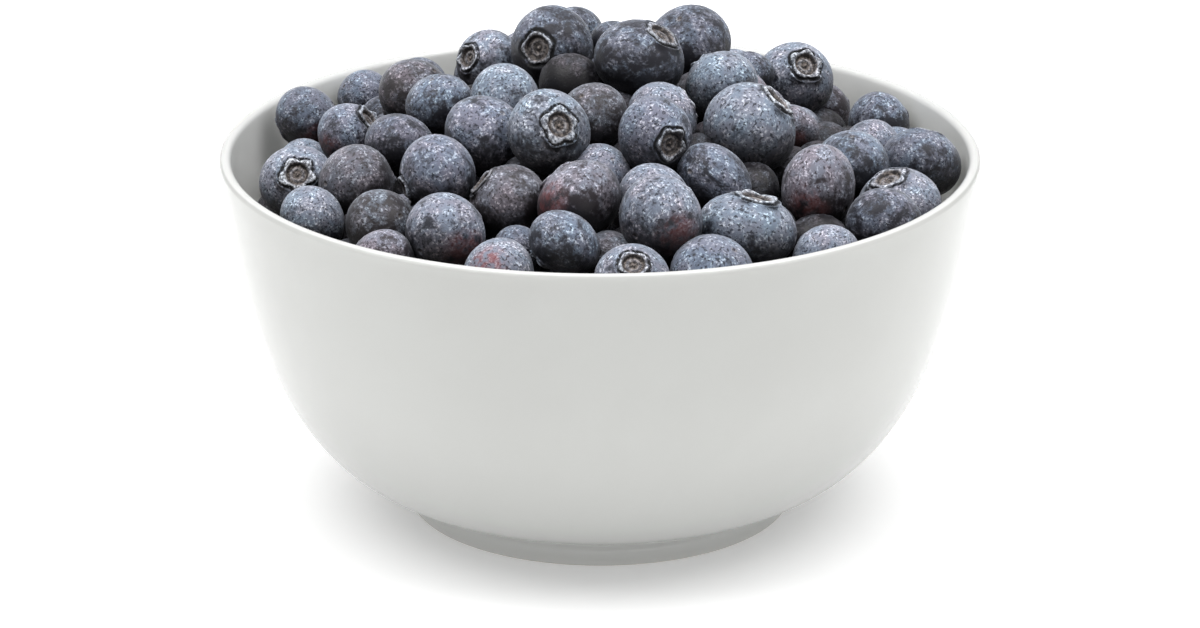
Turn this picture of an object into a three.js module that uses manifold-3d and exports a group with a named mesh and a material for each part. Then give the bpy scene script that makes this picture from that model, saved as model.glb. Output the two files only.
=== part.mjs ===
// A round porcelain bowl heaped with blueberries.
// Millimetres, +Z up. The origin is the middle of the foot ring's underside, on the surface
// that the bowl stands on. -Y faces the side from which the heap is laid out.

import * as THREE from 'three';
import { mergeVertices } from 'three/addons/utils/BufferGeometryUtils.js';
import Module from 'manifold-3d';

// Bowl. Each face of its wall is one curve, drawn from its ends towards two handles, which are
// given as radius and height.
const RIM_RADIUS = 75;
const HEIGHT = 73.3;
const RIM_WALL = 2.4;
const FOOT_RADIUS = 38.2;
const FOOT_WIDTH = 4.6;
const FOOT_HEIGHT = 3;
const FOOT_EDGE = 0.5;
const RECESS_DEPTH = 2.6;
const COVE_TOP = 5.3;
const COVE_DEPTH = 0.5;
const FLOOR_HEIGHT = 7.5;
const OUTER_LOW_HANDLE = [60.7, 9.5];
const OUTER_HIGH_HANDLE = [70.7, 34.2];
const INNER_HIGH_HANDLE = [68.9, 30.5];
const INNER_LOW_HANDLE = [52, 7.7];
const BOWL_SIDES = 56;
const OUTER_STEPS = 11;
const INNER_STEPS = 9;
const LIP_STEPS = 4;
const COVE_STEPS = 2;
const HALVINGS = 24;

// Heap: its berries' centres lie near a cone with a rounded top, here called the dome.
const EDGE_RADIUS = 64;
const EDGE_HEIGHT = 68.4;
const DOME_SLOPE = 0.472;
const DOME_ROUNDING = 11;
const CORE_DEPTH = 3.3;
const CORE_GAP = 0.35;
const CORE_EDGE = 1;
const BERRY_GAP = 0.45;
const DOME_STEPS = 5;

// Berry: an oblate body with a shallow dish, its crown, at one end. Sizes are shares of its
// radius, and the rings of its body are at degrees from its middle.
const BERRY_SIDES = 9;
const BERRY_FACETING = 1.03;
const BERRY_HALF_HEIGHT = 0.9;
const BERRY_RINGS = [-52, -12, 30];
const CROWN_RADIUS = 0.4;
const CROWN_TOP = 0.86;
const CROWN_FLOOR = 0.64;
const CROWN_AWAY = 0.1;

// Viewpoint from which the front of the heap is laid out, and the picture plane in front of it.
const VIEW_ELEVATION = THREE.MathUtils.degToRad(20.12);
const VIEW_DISTANCE = 1000;
const VIEW_AIM_HEIGHT = 38.42;
const PICTURE_FOCAL = 5011;
const PICTURE_COLUMN = 599.5;
const PICTURE_ROW = 314;
const SEARCH_REACH = 120;
const SEARCH_STEP = 0.5;

// Finishes
const PORCELAIN = { color: 0xf1f2ef, roughness: 0.16, metalness: 0 };
const BLUEBERRY = { color: 0x3a4660, roughness: 0.55, metalness: 0 };

// Berries that show: picture column and row of the middle, diameter in mm, how far in mm the
// berry lies below the dome, and for a few how far behind it along the sight line. A crown that
// shows is given as its middle's steps right and up from the berry's middle, in its radii.
const SHOWN = [
  // left side
  { column: 307, row: 119, diameter: 13.8, sunk: -3 },
  { column: 361, row: 96, diameter: 11.0, sunk: 0 },
  { column: 414, row: 94, diameter: 14.6, sunk: 0 },
  { column: 386, row: 122, diameter: 11.4, sunk: 5 },
  { column: 349, row: 136, diameter: 13.0, sunk: 0, crown: [0.62, 0.5] },
  { column: 399, row: 145, diameter: 13.2, sunk: 1 },
  { column: 439, row: 105, diameter: 13.0, sunk: 0 },
  { column: 297, row: 183, diameter: 14.6, sunk: 0, crown: [0, 0.25] },
  { column: 304, row: 166, diameter: 10.6, sunk: 4 },
  { column: 355, row: 184, diameter: 15.2, sunk: 0 },
  { column: 438, row: 174, diameter: 15.4, sunk: 0, crown: [-0.72, -0.35] },
  { column: 313, row: 219, diameter: 13.0, sunk: 0 },
  { column: 381, row: 227, diameter: 13.8, sunk: 0 },
  { column: 382, row: 259, diameter: 11.6, sunk: 0 },
  { column: 445, row: 233, diameter: 15.4, sunk: 0 },
  // middle, from the ridge to the front lip
  { column: 488, row: 63, diameter: 13.2, sunk: 0, crown: [-0.62, 0.15] },
  { column: 503, row: 101, diameter: 14.4, sunk: 0 },
  { column: 486, row: 135, diameter: 15.6, sunk: 0 },
  { column: 552, row: 48, diameter: 16.6, sunk: 0, crown: [-0.36, -0.05] },
  { column: 574, row: 38, diameter: 12.4, sunk: 0, behind: 12 },
  { column: 549, row: 133, diameter: 15.8, sunk: 0, crown: [0.3, 0.15] },
  { column: 592, row: 117, diameter: 13.4, sunk: 2 },
  { column: 508, row: 203, diameter: 15.0, sunk: 1, crown: [-0.6, 0.5] },
  { column: 577, row: 202, diameter: 16.8, sunk: 0 },
  { column: 598, row: 173, diameter: 12.0, sunk: 4 },
  { column: 565, row: 243, diameter: 13.4, sunk: 0 },
  { column: 497, row: 275, diameter: 14.0, sunk: 0 },
  { column: 517, row: 254, diameter: 10.4, sunk: 4 },
  { column: 639, row: 60, diameter: 16.4, sunk: 0, crown: [0.5, 0.6] },
  { column: 613, row: 46, diameter: 10.2, sunk: 2 },
  { column: 687, row: 44, diameter: 16.6, sunk: 0 },
  { column: 721, row: 87, diameter: 14.8, sunk: 0 },
  { column: 661, row: 119, diameter: 14.6, sunk: 2 },
  { column: 654, row: 137, diameter: 14.6, sunk: 0, crown: [0.42, -0.25] },
  // right side
  { column: 749, row: 128, diameter: 18.0, sunk: 0, crown: [0.58, 0.6] },
  { column: 790, row: 130, diameter: 11.0, sunk: 4 },
  { column: 795, row: 80, diameter: 15.2, sunk: 0, crown: [0.25, 0.36] },
  { column: 748, row: 74, diameter: 10.0, sunk: 2 },
  { column: 824, row: 110, diameter: 11.4, sunk: 3 },
  { column: 712, row: 181, diameter: 13.6, sunk: 1 },
  { column: 656, row: 201, diameter: 14.8, sunk: 2 },
  { column: 660, row: 221, diameter: 16.4, sunk: 0 },
  { column: 746, row: 230, diameter: 16.2, sunk: 0, crown: [0.22, 0.72] },
  { column: 712, row: 276, diameter: 16.2, sunk: 0 },
  { column: 631, row: 281, diameter: 14.0, sunk: 0, crown: [0.05, 0.45] },
  { column: 608, row: 262, diameter: 11.6, sunk: 4 },
  { column: 819, row: 190, diameter: 15.8, sunk: 0 },
  { column: 826, row: 259, diameter: 13.2, sunk: 0 },
  { column: 852, row: 164, diameter: 14.0, sunk: 0 },
  { column: 872, row: 150, diameter: 12.2, sunk: 2 },
  { column: 879, row: 124, diameter: 13.0, sunk: 0 },
  { column: 920, row: 163, diameter: 15.8, sunk: 0 },
  { column: 898, row: 206, diameter: 16.0, sunk: 0, crown: [-0.32, 0.58] },
  { column: 884, row: 224, diameter: 14.4, sunk: 0 },
];

// Berries behind and between them, which don't show from that side. At each depth below the
// dome, from none to the deepest, each size is tried at places on a spiral from the middle out.
const FILLER_SIZES = [7.2, 6, 5.2];
const FILLER_VARIATION = 0.06;
const FILLER_PLACES = 500;
const FILLER_DEEPEST = 8;
const FILLER_DROP = 2;
const FILLER_CLOSENESS = 0.95;
const HIDDEN_EDGE = 0.86;
const HIDDEN_POINTS = 12;
const BEHIND_START = 24;
const BEHIND_STEP = 3;
const SEED = 7;

// Settling, in rounds: berries that overlap are pushed apart by a share of the overlap, and each
// is then drawn back by a share of its distance from where it belongs. Berries touch the wall a
// little below their middle, at a share of their radius.
const TOUCH = 0.985;
const SHOWN_ROUNDS = 300;
const FILLER_ROUNDS = 200;
const PUSH = 0.4;
const BACK_TO_LINE = 0.5;
const BACK_TO_DOME = 0.07;
const BACK_TO_PLACE = 0.03;
const BACK_TO_HEIGHT = 0.15;
const WALL_TOUCH = 0.25;

// Vertices closer than this are one.
const WELD_DISTANCE = 1e-4;

const LIP = RIM_WALL / 2;

const outerCurve = new THREE.CubicBezierCurve(
  new THREE.Vector2(FOOT_RADIUS, COVE_TOP),
  new THREE.Vector2(...OUTER_LOW_HANDLE),
  new THREE.Vector2(...OUTER_HIGH_HANDLE),
  new THREE.Vector2(RIM_RADIUS, HEIGHT - LIP),
);

const innerCurve = new THREE.CubicBezierCurve(
  new THREE.Vector2(RIM_RADIUS - RIM_WALL, HEIGHT - LIP),
  new THREE.Vector2(...INNER_HIGH_HANDLE),
  new THREE.Vector2(...INNER_LOW_HANDLE),
  new THREE.Vector2(0, FLOOR_HEIGHT),
);

/** Radius of the bowl's inner wall at a height, by halving the inner curve. */
function wallRadius(height) {
  let top = 0;
  let bottom = 1;
  for (let round = 0; round < HALVINGS; round += 1) {
    const middle = (top + bottom) / 2;
    if (innerCurve.getPoint(middle).y > height) {
      top = middle;
    } else {
      bottom = middle;
    }
  }
  return innerCurve.getPoint(top).x;
}

/** Height of the berries' centres at a distance from the heap's axis. */
function domeHeight(radius) {
  const fall = Math.hypot(radius, DOME_ROUNDING) - Math.hypot(EDGE_RADIUS, DOME_ROUNDING);
  return EDGE_HEIGHT - DOME_SLOPE * fall;
}

/** A source of random numbers between 0 and 1, the same ones for the same seed. */
function randomFrom(seed) {
  let state = seed >>> 0;
  return () => {
    state = (state + 0x6d2b79f5) >>> 0;
    let mixed = state;
    mixed = Math.imul(mixed ^ (mixed >>> 15), mixed | 1);
    mixed ^= mixed + Math.imul(mixed ^ (mixed >>> 7), mixed | 61);
    return ((mixed ^ (mixed >>> 14)) >>> 0) / 4294967296;
  };
}

// The viewpoint's place and its three directions.
const forward = new THREE.Vector3(0, Math.cos(VIEW_ELEVATION), -Math.sin(VIEW_ELEVATION));
const upward = new THREE.Vector3(0, Math.sin(VIEW_ELEVATION), Math.cos(VIEW_ELEVATION));
const viewpoint = new THREE.Vector3(0, 0, VIEW_AIM_HEIGHT).addScaledVector(forward, -VIEW_DISTANCE);

/** Direction of the sight line through a place in the picture. */
function sightLine(column, row) {
  return new THREE.Vector3(column - PICTURE_COLUMN, 0, 0)
    .addScaledVector(upward, PICTURE_ROW - row)
    .addScaledVector(forward, PICTURE_FOCAL)
    .normalize();
}

/** Where a point shows in the picture, and how far along the view it is. */
function seenAt(point) {
  const offset = point.clone().sub(viewpoint);
  const depth = offset.dot(forward);
  const column = PICTURE_COLUMN + (PICTURE_FOCAL * offset.x) / depth;
  const row = PICTURE_ROW - (PICTURE_FOCAL * offset.dot(upward)) / depth;
  return { column, row, depth };
}

/** Where a sight line first meets the dome lowered by sunk, or comes nearest to it. */
function pointOnDome(line, sunk) {
  let nearest = null;
  let least = Infinity;
  const farthest = VIEW_DISTANCE + SEARCH_REACH;
  for (let along = VIEW_DISTANCE - SEARCH_REACH; along < farthest; along += SEARCH_STEP) {
    const point = viewpoint.clone().addScaledVector(line, along);
    const above = point.z - domeHeight(Math.hypot(point.x, point.y)) + sunk;
    if (above <= 0) {
      return point;
    }
    if (above < least) {
      least = above;
      nearest = point;
    }
  }
  return nearest;
}

/** Keeps a berry clear of the bowl's wall. */
function keepInside(berry) {
  const distance = Math.hypot(berry.place.x, berry.place.y);
  const touchHeight = berry.place.z - WALL_TOUCH * berry.radius;
  const room = wallRadius(touchHeight) - berry.radius * BERRY_FACETING - BERRY_GAP;
  if (distance > room) {
    berry.place.x *= room / distance;
    berry.place.y *= room / distance;
  }
}

/** Pushes overlapping berries apart, the fixed ones excepted, and draws each one back home. */
function settle(berries, rounds) {
  for (let round = 0; round < rounds; round += 1) {
    const moves = berries.map(() => new THREE.Vector3());
    for (let one = 0; one < berries.length; one += 1) {
      for (let other = one + 1; other < berries.length; other += 1) {
        const apart = berries[one].place.clone().sub(berries[other].place);
        const distance = apart.length();
        const overlap = (berries[one].radius + berries[other].radius) * TOUCH - distance;
        if (overlap > 0) {
          const share = berries[one].fixed || berries[other].fixed ? 2 * PUSH : PUSH;
          moves[one].addScaledVector(apart, (share * overlap) / distance);
          moves[other].addScaledVector(apart, (-share * overlap) / distance);
        }
      }
    }
    berries.forEach((berry, index) => {
      if (!berry.fixed) {
        berry.place.add(moves[index]);
        berry.drawBack(berry);
        keepInside(berry);
      }
    });
  }
}

/** How far a berry lies above the height that it belongs at. */
function tooHigh(berry) {
  return berry.place.z - (domeHeight(Math.hypot(berry.place.x, berry.place.y)) - berry.sunk);
}

/** Draws a shown berry back to its sight line, and along it to the dome and to its first place. */
function backToSightLine(berry) {
  const offset = berry.place.clone().sub(berry.home);
  const along = offset.dot(berry.line);
  const slide = BACK_TO_DOME * tooHigh(berry) - BACK_TO_PLACE * along;
  berry.place.addScaledVector(offset.addScaledVector(berry.line, -along), -BACK_TO_LINE);
  berry.place.addScaledVector(berry.line, slide);
}

/** Draws a hidden berry back up or down to its height. */
function backToHeight(berry) {
  berry.place.z -= BACK_TO_HEIGHT * tooHigh(berry);
}

/** The berries that show, settled among themselves. */
function shownBerries() {
  const berries = SHOWN.map(({ column, row, diameter, sunk, behind = 0, crown }) => {
    const line = sightLine(column, row);
    const home = pointOnDome(line, sunk).addScaledVector(line, behind);
    return {
      place: home.clone(), home, line, sunk, crown, radius: diameter / 2, drawBack: backToSightLine,
    };
  });
  settle(berries, SHOWN_ROUNDS);
  berries.forEach((berry) => {
    berry.fixed = true;
  });
  return berries;
}

/** Whether the packed heap lies between a point and the viewpoint. */
function isBehindHeap(point) {
  const toViewpoint = viewpoint.clone().sub(point).normalize();
  for (let along = BEHIND_START; along < 2 * EDGE_RADIUS; along += BEHIND_STEP) {
    const passed = point.clone().addScaledVector(toViewpoint, along);
    const distance = Math.hypot(passed.x, passed.y);
    if (distance < EDGE_RADIUS && passed.z < domeHeight(distance)) {
      return true;
    }
  }
  return false;
}

/** Whether shown berries or the packed heap hide a berry at a place from the viewpoint. */
function isHidden(place, radius, discs) {
  for (let point = 0; point < HIDDEN_POINTS; point += 1) {
    const angle = (2 * Math.PI * point) / HIDDEN_POINTS;
    const edge = place.clone().addScaledVector(upward, HIDDEN_EDGE * radius * Math.sin(angle));
    edge.x += HIDDEN_EDGE * radius * Math.cos(angle);
    const seen = seenAt(edge);
    const covered = discs.some((disc) => disc.depth < seen.depth
      && Math.hypot(seen.column - disc.column, seen.row - disc.row) < disc.reach);
    if (!covered && !isBehindHeap(edge)) {
      return false;
    }
  }
  return true;
}

/** Fills the gaps behind and between the shown berries, along a spiral from the middle out. */
function addFillers(berries) {
  const random = randomFrom(SEED);
  const turn = Math.PI * (3 - Math.sqrt(5));
  const discs = berries.map(({ place, radius }) => {
    const seen = seenAt(place);
    return { ...seen, reach: (radius * PICTURE_FOCAL) / seen.depth };
  });
  for (let sunk = 0; sunk <= FILLER_DEEPEST; sunk += FILLER_DROP) {
    for (const size of FILLER_SIZES) {
      for (let step = 0; step < FILLER_PLACES; step += 1) {
        const distance = EDGE_RADIUS * Math.sqrt((step + 0.5) / FILLER_PLACES);
        const radius = size * (1 + FILLER_VARIATION * (2 * random() - 1));
        const x = distance * Math.cos(step * turn);
        const y = distance * Math.sin(step * turn);
        const place = new THREE.Vector3(x, y, domeHeight(distance) - sunk);
        const clear = berries.every((berry) => (
          place.distanceTo(berry.place) >= FILLER_CLOSENESS * (radius + berry.radius)
        ));
        if (clear && isHidden(place, radius, discs)) {
          berries.push({ place, sunk, radius, drawBack: backToHeight });
        }
      }
    }
  }
  settle(berries, FILLER_ROUNDS);
}

/** A closed body of revolution about +Z from a profile of radius and height points. */
function turned(profile, sides) {
  return new THREE.LatheGeometry(profile, sides).rotateX(Math.PI / 2);
}

function bowlGeometry() {
  const footInner = FOOT_RADIUS - FOOT_WIDTH;
  const cove = new THREE.QuadraticBezierCurve(
    new THREE.Vector2(FOOT_RADIUS, FOOT_HEIGHT),
    new THREE.Vector2(FOOT_RADIUS - COVE_DEPTH, COVE_TOP),
    new THREE.Vector2(FOOT_RADIUS, COVE_TOP),
  );
  const lip = new THREE.EllipseCurve(RIM_RADIUS - LIP, HEIGHT - LIP, LIP, LIP, 0, Math.PI);
  return turned([
    new THREE.Vector2(0, RECESS_DEPTH),
    new THREE.Vector2(footInner - RECESS_DEPTH / 2, RECESS_DEPTH),
    new THREE.Vector2(footInner, FOOT_EDGE),
    new THREE.Vector2(footInner + FOOT_EDGE, 0),
    new THREE.Vector2(FOOT_RADIUS - FOOT_EDGE, 0),
    new THREE.Vector2(FOOT_RADIUS, FOOT_EDGE),
    ...cove.getPoints(COVE_STEPS),
    ...outerCurve.getPoints(OUTER_STEPS).slice(1),
    ...lip.getPoints(LIP_STEPS).slice(1),
    ...innerCurve.getPoints(INNER_STEPS).slice(1),
  ], BOWL_SIDES);
}

/** The packed inside of the heap: the bowl's inner shape below, the lowered dome above. */
function coreGeometry() {
  const profile = [new THREE.Vector2(0, FLOOR_HEIGHT + CORE_GAP)];
  const edgeRadius = RIM_RADIUS - RIM_WALL - CORE_GAP;
  const edge = domeHeight(edgeRadius) - CORE_DEPTH;
  for (const point of innerCurve.getPoints(INNER_STEPS).reverse().slice(1)) {
    if (point.y < edge - CORE_EDGE) {
      profile.push(new THREE.Vector2(point.x - CORE_GAP, point.y + CORE_GAP));
    }
  }
  const domeRadius = wallRadius(edge) - CORE_GAP;
  for (let step = DOME_STEPS; step >= 0; step -= 1) {
    const radius = (domeRadius * step) / DOME_STEPS;
    profile.push(new THREE.Vector2(radius, domeHeight(radius) - CORE_DEPTH));
  }
  return turned(profile, BOWL_SIDES);
}

/** One berry of radius 1 about the origin, its crown towards +Z. */
function berryGeometry() {
  const rings = BERRY_RINGS.map((degrees) => {
    const angle = THREE.MathUtils.degToRad(degrees);
    return new THREE.Vector2(
      BERRY_FACETING * Math.cos(angle),
      BERRY_FACETING * BERRY_HALF_HEIGHT * Math.sin(angle),
    );
  });
  return turned([
    new THREE.Vector2(0, -BERRY_HALF_HEIGHT),
    ...rings,
    new THREE.Vector2(CROWN_RADIUS, CROWN_TOP),
    new THREE.Vector2(0, CROWN_FLOOR),
  ], BERRY_SIDES);
}

/** Shared vertices and whole triangles only, from a geometry's places. */
function welded(geometry) {
  geometry.deleteAttribute('normal');
  geometry.deleteAttribute('uv');
  const merged = mergeVertices(geometry, WELD_DISTANCE);
  const index = merged.index.array;
  const whole = [];
  for (let at = 0; at < index.length; at += 3) {
    const [a, b, c] = index.slice(at, at + 3);
    if (a !== b && b !== c && c !== a) {
      whole.push(a, b, c);
    }
  }
  merged.setIndex(whole);
  return merged;
}

const wasm = await Module();
wasm.setup();

function toSolid(geometry) {
  const closed = welded(geometry);
  return new wasm.Manifold(new wasm.Mesh({
    numProp: 3,
    vertProperties: new Float32Array(closed.attributes.position.array),
    triVerts: new Uint32Array(closed.index.array),
  }));
}

function toGeometry(solid) {
  const mesh = solid.getMesh();
  const geometry = new THREE.BufferGeometry();
  geometry.setAttribute('position', new THREE.BufferAttribute(new Float32Array(mesh.vertProperties), 3));
  geometry.setIndex(new THREE.BufferAttribute(new Uint32Array(mesh.triVerts), 1));
  geometry.computeVertexNormals();
  return geometry;
}

/** A direction drawn evenly from all round. */
function anyDirection(random) {
  const height = 2 * random() - 1;
  const angle = 2 * Math.PI * random();
  const across = Math.sqrt(1 - height * height);
  return new THREE.Vector3(across * Math.cos(angle), across * Math.sin(angle), height);
}

/** Where a berry's crown points: to where it shows, or for a shown berry without one, away. */
function crownDirection({ crown, line }, random) {
  if (crown) {
    const [right, up] = crown.map((step) => step / CROWN_TOP);
    const near = Math.sqrt(Math.max(1 - right * right - up * up, 0));
    return new THREE.Vector3(right, 0, 0)
      .addScaledVector(upward, up)
      .addScaledVector(forward, -near)
      .normalize();
  }
  let direction = anyDirection(random);
  while (line && direction.dot(forward) < CROWN_AWAY) {
    direction = anyDirection(random);
  }
  return direction;
}

function heapGeometry() {
  const berries = shownBerries();
  addFillers(berries);
  const random = randomFrom(SEED + 1);
  const axis = new THREE.Vector3(0, 0, 1);
  let heap = toSolid(coreGeometry());
  for (const berry of berries) {
    const turn = new THREE.Quaternion().setFromUnitVectors(axis, crownDirection(berry, random));
    const size = new THREE.Vector3().setScalar(berry.radius);
    const placed = new THREE.Matrix4().compose(berry.place, turn, size);
    heap = heap.add(toSolid(berryGeometry().applyMatrix4(placed)));
  }
  return toGeometry(heap);
}

function part(name, geometry, finish) {
  const mesh = new THREE.Mesh(geometry, new THREE.MeshStandardMaterial(finish));
  mesh.name = name;
  return mesh;
}

const bowlOfBlueberries = new THREE.Group();
bowlOfBlueberries.add(part('bowl', welded(bowlGeometry()), PORCELAIN));
bowlOfBlueberries.add(part('blueberries', heapGeometry(), BLUEBERRY));

export default bowlOfBlueberries;
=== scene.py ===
"""A round porcelain bowl heaped with blueberries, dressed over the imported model.

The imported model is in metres, with +Z up and -Y towards the side that the photograph shows.
The shapes are worked out in millimetres, and each mesh turns them into metres as it is made.
"""

import math
from collections import namedtuple

import bpy
import numpy as np
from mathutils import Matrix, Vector


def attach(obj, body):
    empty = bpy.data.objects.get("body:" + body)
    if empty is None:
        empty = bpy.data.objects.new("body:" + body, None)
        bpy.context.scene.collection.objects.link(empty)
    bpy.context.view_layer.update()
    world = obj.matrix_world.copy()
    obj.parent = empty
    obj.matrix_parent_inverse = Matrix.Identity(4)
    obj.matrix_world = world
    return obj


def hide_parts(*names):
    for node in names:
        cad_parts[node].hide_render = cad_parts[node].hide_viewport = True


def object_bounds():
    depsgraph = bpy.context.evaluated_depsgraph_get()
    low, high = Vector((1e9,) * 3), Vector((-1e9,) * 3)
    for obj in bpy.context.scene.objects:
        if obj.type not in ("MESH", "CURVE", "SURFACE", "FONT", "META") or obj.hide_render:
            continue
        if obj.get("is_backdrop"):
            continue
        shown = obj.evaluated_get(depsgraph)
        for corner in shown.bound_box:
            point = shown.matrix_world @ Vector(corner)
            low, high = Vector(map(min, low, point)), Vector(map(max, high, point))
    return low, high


MM = 0.001
WHITE = (1, 1, 1)
BODY = "root"

# Bowl. Each face of its wall is one curve, drawn from its ends towards two handles, which are
# given as radius and height. The foot ring's edges are rounded over one place between their ends,
# given as steps in and up, in shares of the edge.
RIM_RADIUS = 75
HEIGHT = 73.3
RIM_WALL = 2.4
FOOT_RADIUS = 38.2
FOOT_WIDTH = 4.6
FOOT_HEIGHT = 3
FOOT_EDGE = 0.5
FOOT_EDGE_MIDDLE = (0.15, 0.2)
COVE_TOP = 5.3
COVE_DEPTH = 0.5
COVE_HANDLE = 1
FLOOR_HEIGHT = 7.5
OUTER_LOW_HANDLE = (60.7, 9.5)
OUTER_HIGH_HANDLE = (70.7, 34.2)
INNER_HIGH_HANDLE = (68.9, 30.5)
INNER_LOW_HANDLE = (52, 7.7)
LIP = RIM_WALL / 2
BOWL_SIDES = 200
OUTER_STEPS = 44
INNER_STEPS = 40
LIP_STEPS = 12
LIP_OUTSIDE_STEPS = 3
COVE_STEPS = 6
BEND_STEPS = 8
WALL_TABLE_STEPS = 2000

# Recess under the bowl, inside the foot ring. Its roof has a sag at each radius, and then bends
# down into the ring along a curve, whose points are steps inwards from the ring and down.
RECESS_DEPTH = 2.6
ROOF_SAGS = ((0, 0), (12, 0), (24, 0.05))
BEND_START = (3.2, 0.15)
BEND_FIRST_HANDLE = (1.2, 0.2)
BEND_SECOND_HANDLE = (0, 0.7)

# Heap: its berries' centres lie near a cone with a rounded top, here called the dome. The core is a
# closed body under the berries, dark with painted shade, which fills the bowl below them.
EDGE_RADIUS = 64
EDGE_HEIGHT = 68.4
DOME_SLOPE = 0.472
DOME_ROUNDING = 11
BERRY_GAP = 0.45
WALL_SHARE = 1.03
WALL_TOUCH = 0.25
CORE_DEPTH = 17
CORE_GAP = 0.5
CORE_EDGE = 1
CORE_SIDES = 96
CORE_STEPS = 20
CORE_SKIN_SCALE = 7

# The photograph's viewpoint, and the picture plane in front of it.
PICTURE_WIDTH = 1200
PICTURE_HEIGHT = 628
VIEW_ELEVATION = math.radians(20.12)
VIEW_DISTANCE = 1000
VIEW_AIM_HEIGHT = 38.42
PICTURE_FOCAL = 5011
PICTURE_COLUMN = 599.5
PICTURE_ROW = PICTURE_HEIGHT / 2
SENSOR_WIDTH = 36
CLIP_END = 100
SEARCH_REACH = 120
SEARCH_STEP = 0.5

# Settling, in rounds: berries that overlap are pushed apart by a share of the overlap, and each
# is then drawn back by a share of its distance from where it belongs.
TOUCH = 0.985
SHOWN_ROUNDS = 300
FILLER_ROUNDS = 200
PUSH = 0.4
BACK_TO_LINE = 0.5
BACK_TO_DOME = 0.07
BACK_TO_PLACE = 0.03
BACK_TO_HEIGHT = 0.15

# Berries behind and between the shown ones. At each depth below the dome each size is tried at
# places on a spiral from the middle out. Closeness is the share of two berries' radii, added up,
# that their middles have to be apart. A berry is hidden if every point tried near its edge is
# behind a shown berry or behind the dome. The search for the dome starts some way off the point.
FILLER_DEPTHS = (0, 2, 4, 6, 8)
FILLER_SIZES = (7.2, 6, 5.2)
FILLER_PLACES = 500
FILLER_CLOSENESS = 0.95
SIZE_VARIATION = 0.06
HIDDEN_EDGE = 0.86
HIDDEN_POINTS = 12
BEHIND_START = 24
BEHIND_STEP = 3
SEED = 7

# The layer below them, which shows only through the gaps.
UNDER_DEPTHS = (7, 8, 9, 10, 12, 14)
UNDER_SIZES = (6.8, 5.8, 5)
UNDER_PLACES = 600
UNDER_CLOSENESS = 0.84
UNDER_SEED = 23

# Each berry's looks are drawn from a seed of its own, counted on from this one. Sides and rings
# are those of the berries' meshes.
LOOKS_SEED = 100
BERRY_SIDES = 40
BERRY_RINGS = 15
UNDER_SIDES = 20
UNDER_RINGS = 9

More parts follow.
